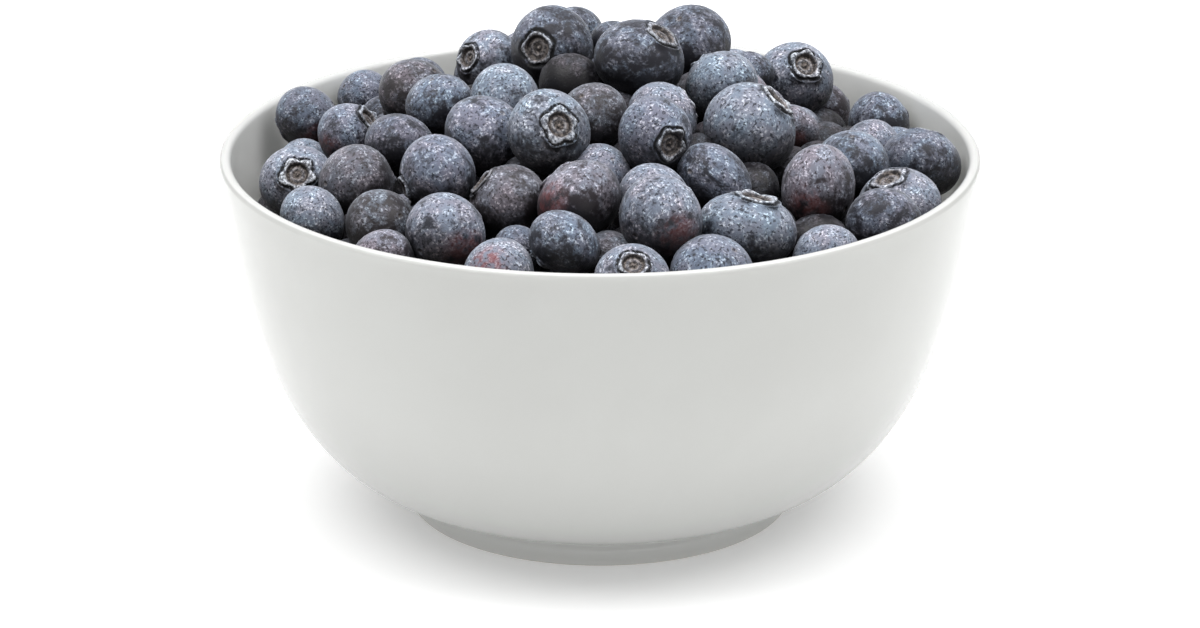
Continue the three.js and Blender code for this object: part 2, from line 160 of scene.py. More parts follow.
# Berries that show: picture column and row of the middle, diameter in mm, how far in mm the
# berry lies below the dome, its kind, where its crown shows, where a red flush shows, how far in
# mm it lies behind the dome along the sight line, and how it is longer one way. The crown and
# the flush are steps right and up from its middle, in its radii; None is out of sight. A stretch
# is a direction as steps right and up, and a factor. The kinds are named after their looks.
Shown = namedtuple(
    "Shown", "column row diameter sunk kind crown flush behind stretch",
    defaults=(None, None, 0, None))
BLUE, DARK, BROWN, MAUVE, PALE = "blue", "dark", "brown", "mauve", "pale"
SHOWN = (
    # left side
    Shown(307, 119, 13.8, -3, DARK, None, (0.35, -0.7)),
    Shown(361, 96, 11.0, 0, BLUE),
    Shown(414, 94, 14.6, 0, BROWN),
    Shown(386, 122, 11.4, 5, BLUE),
    Shown(349, 136, 13.0, 0, BLUE, (0.62, 0.5), (-0.65, -0.5)),
    Shown(399, 145, 13.2, 1, DARK),
    Shown(439, 105, 13.0, 0, BLUE),
    Shown(297, 183, 14.6, 0, PALE, (0.04, 0.22)),
    Shown(304, 166, 10.6, 4, PALE),
    Shown(355, 184, 15.2, 0, BROWN),
    Shown(438, 174, 15.4, 0, BLUE, (-0.82, -0.4)),
    Shown(313, 219, 13.0, 0, PALE),
    Shown(381, 227, 13.8, 0, BROWN),
    Shown(382, 259, 11.6, 0, MAUVE),
    Shown(445, 233, 15.4, 0, PALE, None, (0.5, -0.5)),
    # middle, from the ridge to the front lip
    Shown(488, 63, 13.2, 0, PALE, (-0.62, 0.15)),
    Shown(503, 101, 14.4, 0, PALE),
    Shown(486, 135, 15.6, 0, BLUE),
    Shown(552, 48, 16.6, 0, DARK, (-0.36, -0.05)),
    Shown(574, 38, 12.4, 0, BLUE, behind=12),
    Shown(549, 133, 15.8, 0, PALE, (0.3, 0.15)),
    Shown(592, 117, 13.4, 2, BROWN),
    Shown(508, 203, 15.0, 1, BROWN, (-0.7, 0.58)),
    Shown(577, 202, 16.8, 0, MAUVE, None, (-0.75, -0.1)),
    Shown(598, 173, 12.0, 4, PALE),
    Shown(565, 243, 13.4, 0, BLUE),
    Shown(497, 275, 14.0, 0, PALE, None, (-0.3, 0.3)),
    Shown(517, 254, 10.4, 4, DARK),
    Shown(639, 60, 16.4, 0, DARK, (0.5, 0.6), stretch=(1, 0.1, 1.08)),
    Shown(613, 46, 10.2, 2, DARK),
    Shown(687, 44, 16.6, 0, DARK),
    Shown(721, 87, 14.8, 0, PALE),
    Shown(661, 119, 14.6, 2, PALE),
    Shown(654, 137, 14.6, 0, BLUE, (0.42, -0.25)),
    # right side
    Shown(749, 128, 18.0, 0, PALE, (0.58, 0.6)),
    Shown(790, 130, 11.0, 4, MAUVE, None, (0.2, -0.6)),
    Shown(795, 80, 15.2, 0, PALE, (0.25, 0.36)),
    Shown(748, 74, 10.0, 2, BLUE),
    Shown(824, 110, 11.4, 3, MAUVE),
    Shown(712, 181, 13.6, 1, BLUE, stretch=(0.75, -0.65, 1.2)),
    Shown(656, 201, 14.8, 2, PALE),
    Shown(660, 221, 16.4, 0, PALE, None, (0.4, -0.5)),
    Shown(746, 230, 16.2, 0, PALE, (0.22, 0.8), stretch=(1, -0.2, 1.13)),
    Shown(712, 276, 16.2, 0, BLUE),
    Shown(631, 281, 14.0, 0, PALE, (0.05, 0.45)),
    Shown(608, 262, 11.6, 4, BROWN),
    Shown(819, 190, 15.8, 0, MAUVE, None, (-0.3, -0.55), stretch=(-0.2, 1, 1.1)),
    Shown(826, 259, 13.2, 0, PALE),
    Shown(852, 164, 14.0, 0, BLUE),
    Shown(872, 150, 12.2, 2, PALE),
    Shown(879, 124, 13.0, 0, BLUE),
    Shown(920, 163, 15.8, 0, DARK),
    Shown(898, 206, 16.0, 0, PALE, (-0.3, 0.7)),
    Shown(884, 224, 14.4, 0, DARK),
)

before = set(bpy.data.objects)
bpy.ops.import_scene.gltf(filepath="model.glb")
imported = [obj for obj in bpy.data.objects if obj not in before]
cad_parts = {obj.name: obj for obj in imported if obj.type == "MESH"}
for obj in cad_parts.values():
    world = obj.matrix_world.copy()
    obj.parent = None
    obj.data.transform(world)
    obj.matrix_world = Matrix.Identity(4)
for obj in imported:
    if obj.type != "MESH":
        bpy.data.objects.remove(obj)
cad_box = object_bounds()


def curve(start, first_handle, second_handle, end, steps):
    """Points of radius and height along a smooth curve from start to end."""
    t = np.linspace(0, 1, steps + 1)[:, None]
    corners = [np.array(corner, float) for corner in (start, first_handle, second_handle, end)]
    weights = ((1 - t) ** 3, 3 * (1 - t) ** 2 * t, 3 * (1 - t) * t ** 2, t ** 3)
    return sum(weight * corner for weight, corner in zip(weights, corners))


def inner_curve(steps):
    top = (RIM_RADIUS - RIM_WALL, HEIGHT - LIP)
    return curve(top, INNER_HIGH_HANDLE, INNER_LOW_HANDLE, (0, FLOOR_HEIGHT), steps)


def outer_curve(steps):
    top = (RIM_RADIUS, HEIGHT - LIP)
    return curve((FOOT_RADIUS, COVE_TOP), OUTER_LOW_HANDLE, OUTER_HIGH_HANDLE, top, steps)


WALL_TABLE = inner_curve(WALL_TABLE_STEPS)[::-1]


def wall_radius(height):
    """Radius of the bowl's inner wall at a height."""
    return float(np.interp(height, WALL_TABLE[:, 1], WALL_TABLE[:, 0]))


def dome_height(radius):
    """Height of the berries' centres at a distance, or at many, from the heap's axis."""
    fall = np.hypot(radius, DOME_ROUNDING) - math.hypot(EDGE_RADIUS, DOME_ROUNDING)
    return EDGE_HEIGHT - DOME_SLOPE * fall


def random_from(seed):
    """A source of random numbers between 0 and 1, the same ones for the same seed."""
    state = seed
    mask = 0xFFFFFFFF

    def draw():
        nonlocal state
        state = (state + 0x6D2B79F5) & mask
        mixed = state
        mixed = ((mixed ^ (mixed >> 15)) * (mixed | 1)) & mask
        mixed ^= (mixed + (((mixed ^ (mixed >> 7)) * (mixed | 61)) & mask)) & mask
        return ((mixed ^ (mixed >> 14)) & mask) / (mask + 1)

    return draw


def drawn(draw, least, most):
    """A number drawn between two others."""
    return least + (most - least) * draw()


# The viewpoint's place and its three directions.
RIGHTWARD = np.array([1.0, 0, 0])
FORWARD = np.array([0, math.cos(VIEW_ELEVATION), -math.sin(VIEW_ELEVATION)])
UPWARD = np.array([0, math.sin(VIEW_ELEVATION), math.cos(VIEW_ELEVATION)])
VIEWPOINT = np.array([0, 0, VIEW_AIM_HEIGHT]) - VIEW_DISTANCE * FORWARD


def sight_line(column, row):
    """Direction of the sight line through a place in the picture."""
    across = (column - PICTURE_COLUMN) * RIGHTWARD + (PICTURE_ROW - row) * UPWARD
    line = across + PICTURE_FOCAL * FORWARD
    return line / np.linalg.norm(line)


def seen_at(point):
    """Where a point shows in the picture, and how far along the view it is."""
    offset = point - VIEWPOINT
    depth = offset @ FORWARD
    column = PICTURE_COLUMN + PICTURE_FOCAL * offset[0] / depth
    return column, PICTURE_ROW - PICTURE_FOCAL * (offset @ UPWARD) / depth, depth


def point_on_dome(line, sunk):
    """Where a sight line first meets the dome lowered by sunk, or comes nearest to it."""
    nearest = None
    least = math.inf
    for along in np.arange(VIEW_DISTANCE - SEARCH_REACH, VIEW_DISTANCE + SEARCH_REACH, SEARCH_STEP):
        point = VIEWPOINT + line * along
        above = point[2] - dome_height(math.hypot(point[0], point[1])) + sunk
        if above <= 0:
            return point
        if above < least:
            least = above
            nearest = point
    return nearest


class Berry:
    """A berry's place in the heap, and what its looks need."""

    def __init__(self, place, radius, sunk, kind=None, line=None, shown=None):
        self.place = place
        self.home = place.copy()
        self.radius = radius
        self.sunk = sunk
        self.kind = kind
        self.line = line
        self.shown = shown
        self.fixed = False
        self.draw = None

    def draw_back(self):
        """A shown berry goes back to its sight line and along it; a hidden one to its height."""
        distance = math.hypot(self.place[0], self.place[1])
        too_high = self.place[2] - (dome_height(distance) - self.sunk)
        if self.line is None:
            self.place[2] -= BACK_TO_HEIGHT * too_high
            return
        offset = self.place - self.home
        along = offset @ self.line
        self.place -= BACK_TO_LINE * (offset - along * self.line)
        self.place += (BACK_TO_DOME * too_high - BACK_TO_PLACE * along) * self.line

    def keep_inside(self):
        distance = math.hypot(self.place[0], self.place[1])
        touch_height = self.place[2] - WALL_TOUCH * self.radius
        room = wall_radius(touch_height) - self.radius * WALL_SHARE - BERRY_GAP
        if distance > room:
            self.place[:2] *= room / distance


def settle(berries, rounds):
    """Pushes overlapping berries apart, the fixed ones excepted, and draws each one back home."""
    radii = np.array([berry.radius for berry in berries])
    fixed = np.array([berry.fixed for berry in berries])
    share = np.where(fixed[:, None] | fixed[None], 2 * PUSH, PUSH)
    reach = (radii[:, None] + radii[None]) * TOUCH
    np.fill_diagonal(reach, 0)
    for _ in range(rounds):
        places = np.array([berry.place for berry in berries])
        apart = places[:, None] - places[None]
        distance = np.linalg.norm(apart, axis=2)
        np.fill_diagonal(distance, 1)
        overlap = np.maximum(reach - distance, 0)
        moves = (apart * (share * overlap / distance)[:, :, None]).sum(axis=1)
        for berry, move in zip(berries, moves):
            if not berry.fixed:
                berry.place += move
                berry.draw_back()
                berry.keep_inside()


def shown_berries():
    """The berries that show, settled among themselves."""
    berries = []
    for shown in SHOWN:
        line = sight_line(shown.column, shown.row)
        place = point_on_dome(line, shown.sunk) + shown.behind * line
        berries.append(Berry(place, shown.diameter / 2, shown.sunk, shown.kind, line, shown))
    settle(berries, SHOWN_ROUNDS)
    for berry in berries:
        berry.fixed = True
    return berries


def is_behind_heap(point):
    """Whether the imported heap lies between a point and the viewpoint."""
    to_viewpoint = (VIEWPOINT - point) / np.linalg.norm(VIEWPOINT - point)
    along = np.arange(BEHIND_START, 2 * EDGE_RADIUS, BEHIND_STEP)[:, None]
    passed = point + to_viewpoint * along
    distance = np.hypot(passed[:, 0], passed[:, 1])
    return bool(np.any((distance < EDGE_RADIUS) & (passed[:, 2] < dome_height(distance))))


def is_hidden(berry, discs):
    """Whether the shown berries' discs in the picture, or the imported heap, hide a whole berry."""
    reach = HIDDEN_EDGE * berry.radius
    for point in range(HIDDEN_POINTS):
        angle = 2 * math.pi * point / HIDDEN_POINTS
        across = reach * math.cos(angle) * RIGHTWARD
        edge = berry.place + reach * math.sin(angle) * UPWARD + across
        column, row, depth = seen_at(edge)
        away = np.hypot(column - discs[:, 0], row - discs[:, 1])
        covered = np.any((discs[:, 2] < depth) & (away < discs[:, 3]))
        if not covered and not is_behind_heap(edge):
            return False
    return True


def spiral(count):
    """Places on a spiral from the heap's middle out, as distance, x and y."""
    turn = math.pi * (3 - math.sqrt(5))
    for step in range(count):
        distance = EDGE_RADIUS * math.sqrt((step + 0.5) / count)
        yield distance, distance * math.cos(step * turn), distance * math.sin(step * turn)


def trials(depths, sizes, count, draw):
    """Berries to try, one after the other, at each depth and size."""
    for sunk in depths:
        for size in sizes:
            for distance, x, y in spiral(count):
                radius = size * (1 + SIZE_VARIATION * (2 * draw() - 1))
                yield Berry(np.array([x, y, dome_height(distance) - sunk]), radius, sunk)


def is_clear(berry, others, closeness):
    """Whether a berry has room among others."""
    places = np.array([other.place for other in others])
    radii = np.array([other.radius for other in others])
    gaps = np.linalg.norm(places - berry.place, axis=1)
    return bool(np.all(gaps >= closeness * (berry.radius + radii)))


def add_fillers(berries):
    """Fills the gaps behind and between the shown berries."""
    discs = []
    for berry in berries:
        column, row, depth = seen_at(berry.place)
        discs.append((column, row, depth, berry.radius * PICTURE_FOCAL / depth))
    discs = np.array(discs)
    for berry in trials(FILLER_DEPTHS, FILLER_SIZES, FILLER_PLACES, random_from(SEED)):
        if is_clear(berry, berries, FILLER_CLOSENESS) and is_hidden(berry, discs):
            berries.append(berry)
    settle(berries, FILLER_ROUNDS)


def under_berries(berries):
    """The layer below, placed clear of the berries above it and of the wall."""
    under = []
    for berry in trials(UNDER_DEPTHS, UNDER_SIZES, UNDER_PLACES, random_from(UNDER_SEED)):
        if is_clear(berry, berries + under, UNDER_CLOSENESS):
            berry.keep_inside()
            under.append(berry)
    return under


def closed_faces(rings, sides):
    """Faces of a closed body: a tip below, rings of corners one above the other, a tip above."""
    after = np.roll(np.arange(sides), -1)
    faces = [(0, 1 + after[side], 1 + side) for side in range(sides)]
    for ring in range(rings - 1):
        low = 1 + ring * sides
        high = low + sides
        for side in range(sides):
            faces.append((low + side, low + after[side], high + after[side], high + side))
    last = 1 + (rings - 1) * sides
    faces += [(last + side, last + after[side], last + sides) for side in range(sides)]
    return faces


def revolve(profile, sides):
    """Vertices and faces of a closed body turned about Z, from a profile that ends on the axis."""
    angles = 2 * np.pi * np.arange(sides) / sides
    ring = np.stack([np.cos(angles), np.sin(angles)], axis=1)
    middle = profile[1:-1]
    verts = [np.array([[0, 0, profile[0][1]]])]
    for radius, height in middle:
        verts.append(np.column_stack([radius * ring, np.full(sides, height)]))
    verts.append(np.array([[0, 0, profile[-1][1]]]))
    return np.vstack(verts), closed_faces(len(middle), sides)


def make_piece(name, verts, faces, material):
    """A smooth mesh object from places in millimetres."""
    mesh = bpy.data.meshes.new(name)
    mesh.from_pydata((np.asarray(verts) * MM).tolist(), [], faces)
    mesh.materials.append(material)
    mesh.shade_smooth()
    piece = bpy.data.objects.new(name, mesh)
    bpy.context.scene.collection.objects.link(piece)
    return piece


def foot_profile():
    """The recess's roof, the bend into the foot ring, the ring's flat underside and the cove."""
    foot_inner = FOOT_RADIUS - FOOT_WIDTH

    def from_ring(inwards, down):
        return foot_inner - inwards, RECESS_DEPTH - down

    roof = [(radius, RECESS_DEPTH - sag) for radius, sag in ROOF_SAGS]
    bend = curve(
        from_ring(*BEND_START), from_ring(*BEND_FIRST_HANDLE), from_ring(*BEND_SECOND_HANDLE),
        (foot_inner, FOOT_EDGE), BEND_STEPS)
    edge_in, edge_up = (share * FOOT_EDGE for share in FOOT_EDGE_MIDDLE)
    underside = [
        (foot_inner + edge_in, edge_up), (foot_inner + FOOT_EDGE, 0),
        (FOOT_RADIUS - FOOT_EDGE, 0), (FOOT_RADIUS - edge_in, edge_up), (FOOT_RADIUS, FOOT_EDGE),
    ]
    cove = curve(
        (FOOT_RADIUS, FOOT_HEIGHT), (FOOT_RADIUS - COVE_DEPTH, COVE_TOP - COVE_HANDLE),
        (FOOT_RADIUS - COVE_DEPTH, COVE_TOP), (FOOT_RADIUS, COVE_TOP), COVE_STEPS)
    return np.vstack([roof, bend, underside, cove])


def bowl_profile():
    """Radius and height along the bowl's section, from the axis below to the axis above."""
    angles = np.linspace(0, np.pi, LIP_STEPS + 1)
    lip_radii = RIM_RADIUS - LIP + LIP * np.cos(angles)
    lip = np.column_stack([lip_radii, HEIGHT - LIP + LIP * np.sin(angles)])
    outer = outer_curve(OUTER_STEPS)
    inner = inner_curve(INNER_STEPS)
    return np.vstack([foot_profile(), outer[1:], lip[1:], inner[1:]])


def core_profile():
    """Section of the closed body under the berries, dark with painted shade: up along the wall, then
    over a dome.
    """
    edge_radius = RIM_RADIUS - RIM_WALL - CORE_GAP
    edge_height = dome_height(edge_radius) - CORE_DEPTH
    wall = []
    for radius, height in inner_curve(INNER_STEPS)[::-1]:
        if radius > 0 and height < edge_height - CORE_EDGE:
            wall.append((radius - CORE_GAP, height + CORE_GAP))
    dome = []
    for share in np.linspace(1, 0, CORE_STEPS):
        radius = share * (wall_radius(edge_height) - CORE_GAP)
        dome.append((radius, dome_height(radius) - CORE_DEPTH))
    return np.vstack([[(0, FLOOR_HEIGHT + CORE_GAP)], wall, dome])


# Berry. Sizes are shares of its radius, and its body ends under the crown at a latitude in
# degrees. A pair of numbers is the least and the most of what is drawn for each berry.
HALF_HEIGHT = 0.89
BERRY_WIDTH = 1.03
BODY_BOTTOM = -84
BODY_TOP = 59
SCAR_RADIUS = 0.07
SCAR_HEIGHT = 0.03 - HALF_HEIGHT
STUB_HEIGHT = 0.77
CROWN_LOBES = 5
LOBE_SIZE = (0.75, 1.15)
LOBE_REACH = (0.06, 0.16)
LOBE_LIFT = (0, 0.10)
LOBE_POINTEDNESS = 0.8
LOBE_UNEVENNESS = 0.18
LOBE_SHIFT = (0, 6)
GROOVE_RADIUS = 0.36
GROOVE_FOLLOWS = 0.7
CROWN_PALENESS = (0.35, 1)
CROWN_PLACE = 0.86
STRETCH_ACROSS = (0.975, 1.025)
STRETCH_ALONG = (0.94, 1.04)
LUMP_SIZE = 0.011
LUMP_WAVES = 4
LUMP_TURNS = (1.6, 3.8)
SKIN_SHIFT = 40

# A crown that isn't seen points away from the viewpoint: the cosine of its angle with the view's
# direction lies between a least and a most.
LEAST_AWAY = 0.1
MOST_AWAY = 1
MOST_AWAY_IF_SHOWN = 0.75

# The least square of the part of a direction that points to the viewpoint, and the upward part
# from which a direction counts as upright.
EDGE_ON = 0.02
UPRIGHT = 0.9

# A red flush starts where the cosine of the angle from its middle is its edge, and is full where
# the cosine is greater by its fade.
FLUSH_EDGE = 0.78
FLUSH_FADE = 0.17
HIDDEN_FLUSH_CHANCE = 0.18
HIDDEN_FLUSH_STRENGTH = 0.8
HIDDEN_FLUSH_EDGE = 0.75
HIDDEN_FLUSH_FADE = 0.25


def berry_shape(sides, body_rings, reach, lift, draw):
    """A berry of radius 1 with its crown towards +Z: places, faces and masks for its parts.

    The crown is a star of flat pointed lobes in a narrow groove, around a shallow dish with a
    ring and a stub in it. The stem's scar is a small dimple at the other end. The masks are for the
    lobes, for the dish and for the painted shade in the groove and in the dish's hollows.
    """
    angles = 2 * np.pi * np.arange(sides) / sides
    uneven = angles + LOBE_UNEVENNESS * np.sin(angles + drawn(draw, *LOBE_SHIFT))
    turn = (uneven % (2 * np.pi)) * CROWN_LOBES / (2 * np.pi)
    lobe_size = np.array([drawn(draw, *LOBE_SIZE) for _ in range(CROWN_LOBES)])
    lobe = (1 - np.abs(2 * (turn % 1) - 1)) ** LOBE_POINTEDNESS
    lobe *= lobe_size[turn.astype(int) % CROWN_LOBES]
    flat = np.zeros(sides)
    groove = GROOVE_RADIUS + GROOVE_FOLLOWS * reach * lobe
    # Rings from the scar up: radius, height, and the masks for lobe, dish and groove; the groove's
    # mask is painted shade, also in the dish's hollows.
    rows = [
        (flat + 0.02, flat + SCAR_HEIGHT, 0, 0.5, 0),
        (flat + 0.7 * SCAR_RADIUS, flat - HALF_HEIGHT + 0.022, 0, 0.6, 0),
        (flat + SCAR_RADIUS, flat - HALF_HEIGHT - 0.003, 0, 0.3, 0),
    ]
    for degrees in np.linspace(BODY_BOTTOM, BODY_TOP, body_rings):
        angle = math.radians(degrees)
        rows.append((flat + math.cos(angle), flat + HALF_HEIGHT * math.sin(angle), 0, 0, 0))
    rows += [
        (groove + 0.11, flat + 0.787, 0, 0, 0.1),
        (groove + 0.07, flat + 0.785, 0, 0, 1),
        (groove + 0.02, flat + 0.745, 0, 0, 1),
        (0.34 + reach * lobe, 0.775 + 0.9 * lift * lobe, 0.4, 0, 0.8),
        (0.345 + 1.05 * reach * lobe, 0.80 + lift * lobe, 1, 0, 0),
        (0.33 + 0.8 * reach * lobe, 0.825 + 0.9 * lift * lobe, 1, 0, 0),
        (0.31 + 0.3 * reach * lobe, 0.835 + 0.4 * lift * lobe, 0.9, 0.2, 0),
        (flat + 0.29, flat + 0.82, 0.3, 0.8, 0),
        (flat + 0.27, flat + 0.755, 0, 1, 0.9),
        (flat + 0.23, flat + 0.735, 0, 1, 0.2),
        (flat + 0.18, flat + 0.765, 0.5, 0.7, 0),
        (flat + 0.14, flat + 0.765, 0.5, 0.7, 0),
        (flat + 0.10, flat + 0.735, 0, 1, 0.4),
        (flat + 0.05, flat + 0.73, 0, 1, 0.6),
        (flat + 0.03, flat + 0.765, 0.2, 1, 0),
    ]
    verts = [np.array([[0, 0, SCAR_HEIGHT]])]
    masks = [np.array([[0, 0.5, 0]])]
    for radius, height, *mask in rows:
        verts.append(np.column_stack([radius * np.cos(angles), radius * np.sin(angles), height]))
        masks.append(np.tile(mask, (sides, 1)))
    verts.append(np.array([[0, 0, STUB_HEIGHT]]))
    masks.append(np.array([[0.2, 1, 0]]))
    return np.vstack(verts), closed_faces(len(rows), sides), np.vstack(masks)


def any_direction(draw):
    """A direction drawn evenly from all round."""
    height = 2 * draw() - 1
    angle = 2 * math.pi * draw()
    across = math.sqrt(1 - height * height)
    return np.array([across * math.cos(angle), across * math.sin(angle), height])


def towards(step_right, step_up, share=1.0):
    """Direction from a berry's middle to what shows that far from it, in its radii."""
    right, up = step_right / share, step_up / share
    near = math.sqrt(max(1 - right * right - up * up, EDGE_ON))
    direction = right * RIGHTWARD + up * UPWARD - near * FORWARD
    return direction / np.linalg.norm(direction)


def crown_direction(berry, draw):
    """Where a berry's crown points: to where it shows, or else away from the viewpoint."""
    if berry.shown is not None and berry.shown.crown is not None:
        return towards(*berry.shown.crown, share=CROWN_PLACE)
    most = MOST_AWAY if berry.shown is None else MOST_AWAY_IF_SHOWN
    while True:
        direction = any_direction(draw)
        if LEAST_AWAY < direction @ FORWARD < most:
            return direction


def turned_to(direction, spin):
    """Rotation matrix that takes +Z to a direction, after a spin about it."""
    side = np.cross(direction, [0, 0, 1.0] if abs(direction[2]) < UPRIGHT else [1.0, 0, 0])
    side /= np.linalg.norm(side)
    other = np.cross(direction, side)
    first = math.cos(spin) * side + math.sin(spin) * other
    second = np.cross(direction, first)
    return np.column_stack([first, second, direction])


def lumps(points, draw):
    """A slow unevenness over a unit shape, as a factor for each point."""
    factor = np.ones(len(points))
    for _ in range(LUMP_WAVES):
        wave = any_direction(draw) * drawn(draw, *LUMP_TURNS)
        factor += LUMP_SIZE * np.sin(points @ wave + 2 * math.pi * draw())
    return factor


def stretched(offset, right, up, factor):
    """A berry's places drawn out along a direction in the picture plane, at the same volume."""
    direction = right * RIGHTWARD + up * UPWARD
    direction /= np.linalg.norm(direction)
    across = 1 / math.sqrt(factor)
    along = (offset @ direction)[:, None] * direction
    return across * offset + (factor - across) * along


def add_attribute(mesh, name, kind, values):
    layer = mesh.attributes.new(name, kind, "POINT")
    field = "vector" if kind == "FLOAT_VECTOR" else "value"
    layer.data.foreach_set(field, np.asarray(values, np.float32).ravel())


def flush_mask(shown, outward, draw):
    """How strongly the red flush marks each of a berry's places."""
    if shown is not None and shown.flush is not None:
        near = outward @ towards(*shown.flush)
        return np.clip((near - FLUSH_EDGE) / FLUSH_FADE, 0, 1)
    if shown is None and draw() < HIDDEN_FLUSH_CHANCE:
        near = outward @ any_direction(draw)
        return HIDDEN_FLUSH_STRENGTH * np.clip((near - HIDDEN_FLUSH_EDGE) / HIDDEN_FLUSH_FADE, 0, 1)
    return np.zeros(len(outward))


def dressed_berry(berry, sides, body_rings):
    """A berry's places and faces, and for each place its skin coordinates and its masks."""
    draw = berry.draw
    reach = drawn(draw, *LOBE_REACH)
    lift = drawn(draw, *LOBE_LIFT)
    shape, faces, parts = berry_shape(sides, body_rings, reach, lift, draw)
    direction = crown_direction(berry, draw)
    turn = turned_to(direction, 2 * math.pi * draw())
    ranges = (STRETCH_ACROSS, STRETCH_ACROSS, STRETCH_ALONG)
    stretch = np.array([drawn(draw, *limits) for limits in ranges])
    body = shape * stretch * lumps(shape, draw)[:, None]
    offset = (body * BERRY_WIDTH * berry.radius) @ turn.T
    if berry.shown is not None and berry.shown.stretch is not None:
        offset = stretched(offset, *berry.shown.stretch)
    outward = shape @ turn.T
    outward /= np.linalg.norm(outward, axis=1)[:, None]
    flush = flush_mask(berry.shown, outward, draw)
    crown, dish, groove = (parts * (drawn(draw, *CROWN_PALENESS), 1, 1)).T
    masks = {"crown": crown, "dish": dish, "groove": groove, "flush": flush}
    for mask in ("bloom", "hue"):
        masks[mask] = np.full(len(shape), draw())
    skin = shape + SKIN_SHIFT * np.array([draw(), draw(), draw()])
    return offset + berry.place, faces, skin, masks


def join_berries(name, berries, sides, body_rings, material):
    """One mesh of many berries, with the masks and skin coordinates that their material reads."""
    verts, faces, skins, masks = [], [], [], []
    start = 0
    for berry in berries:
        places, berry_faces, skin, berry_masks = dressed_berry(berry, sides, body_rings)
        faces += [tuple(corner + start for corner in face) for face in berry_faces]
        start += len(places)
        verts.append(places)
        skins.append(skin)
        masks.append(berry_masks)
    piece = make_piece(name, np.vstack(verts), faces, material)
    for mask in masks[0]:
        values = np.concatenate([berry_masks[mask] for berry_masks in masks])
        add_attribute(piece.data, mask, "FLOAT", values)
    add_attribute(piece.data, "skin", "FLOAT_VECTOR", np.vstack(skins))
    return piece


class Nodes:
    """Short names for making a material's nodes."""

    def __init__(self, name):
        self.material = bpy.data.materials.new(name)
        self.material.use_nodes = True
        self.tree = self.material.node_tree
        self.shader = self.tree.nodes["Principled BSDF"]

    def add(self, kind, settings=None, **inputs):
        node = self.tree.nodes.new(kind)
        for key, value in (settings or {}).items():
            setattr(node, key, value)
        for key, value in inputs.items():
            self.put(node.inputs[key.replace("_", " ")], value)
        return node

    def put(self, socket, value):
        """A value, or a link from another node's socket, on a socket."""
        if isinstance(value, bpy.types.NodeSocket):
            self.tree.links.new(value, socket)
        elif isinstance(value, tuple) and len(value) == 3 and socket.type == "RGBA":
            socket.default_value = (*value, 1)
        else:
            socket.default_value = value

    def set(self, name, value):
        self.put(self.shader.inputs[name], value)

    def attribute(self, name, output="Fac"):
        return self.add("ShaderNodeAttribute", {"attribute_name": name}).outputs[output]

    def noise(self, vector, scale, detail, roughness=0.6, distortion=0.0):
        return self.add(
            "ShaderNodeTexNoise", Vector=vector, Scale=scale, Detail=detail, Roughness=roughness,
            Distortion=distortion).outputs["Fac"]

    def between(self, value, low, high, to_low=0.0, to_high=1.0):
        """A value's range between low and high, stretched to another range with soft ends."""
        return self.add(
            "ShaderNodeMapRange", {"interpolation_type": "SMOOTHSTEP"}, Value=value, From_Min=low,
            From_Max=high, To_Min=to_low, To_Max=to_high).outputs[0]

    def math(self, operation, first, second):
        node = self.add("ShaderNodeMath", {"operation": operation})
        self.put(node.inputs[0], first)
        self.put(node.inputs[1], second)
        return node.outputs[0]

    def weighted(self, *parts):
        """The sum of values, each times its weight."""
        total = 0.0
        for value, weight in parts:
            total = self.math("ADD", total, self.math("MULTIPLY", value, weight))
        return total

    def mix(self, share, first, second):
        """A colour between two, through the mix node's sockets for colours."""
        node = self.add("ShaderNodeMix", {"data_type": "RGBA"})
        for index, value in ((0, share), (6, first), (7, second)):
            self.put(node.inputs[index], value)
        return node.outputs[2]

    def times(self, colour, factors):
        node = self.add("ShaderNodeVectorMath", {"operation": "MULTIPLY"})
        self.put(node.inputs[0], colour)
        self.put(node.inputs[1], factors)
        return node.outputs[0]

    def scaled(self, colour, factor):
        """A colour made brighter or darker by one factor."""
        return self.add(
            "ShaderNodeVectorMath", {"operation": "SCALE"}, Vector=colour, Scale=factor).outputs[0]

    def bump(self, height, strength, distance, normal=None):
        node = self.add("ShaderNodeBump", Height=height, Strength=strength, Distance=distance)
        if normal is not None:
            self.put(node.inputs["Normal"], normal)
        return node.outputs["Normal"]


# Porcelain: colours of the glazed wall and bare biscuit, with painted shade low on the outer wall,
# painted light on the foot ring and inner wall and a painted highlight on most of the lip, and the
# heights in metres over which the wall gets its full colour, the cove turns into the foot ring and
# the ring's underside turns bare.
GLAZE_WALL = ((0.520, 0.525, 0.509), (0.535, 0.541, 0.525))
PAINTED_SHADE_LOW_WALL = (0.420, 0.425, 0.412)
PAINTED_LIGHT_FOOT = (0.64, 0.645, 0.63)
PAINTED_LIGHT_INSIDE = (0.75, 0.755, 0.74)
BISCUIT = (0.60, 0.57, 0.52)
LOW_WALL_HEIGHTS = (0.006, 0.04)
FOOT_HEIGHTS = (0.0055, 0.0045)
BISCUIT_HEIGHTS = (0.0003, 0.00012)
GLAZE_ROUGHNESS = 0.2
BISCUIT_ROUGHNESS = 0.8
CLOUD_SCALE = 28
CLOUD_RANGE = (0.35, 0.65)
GRAIN_SCALE = 900


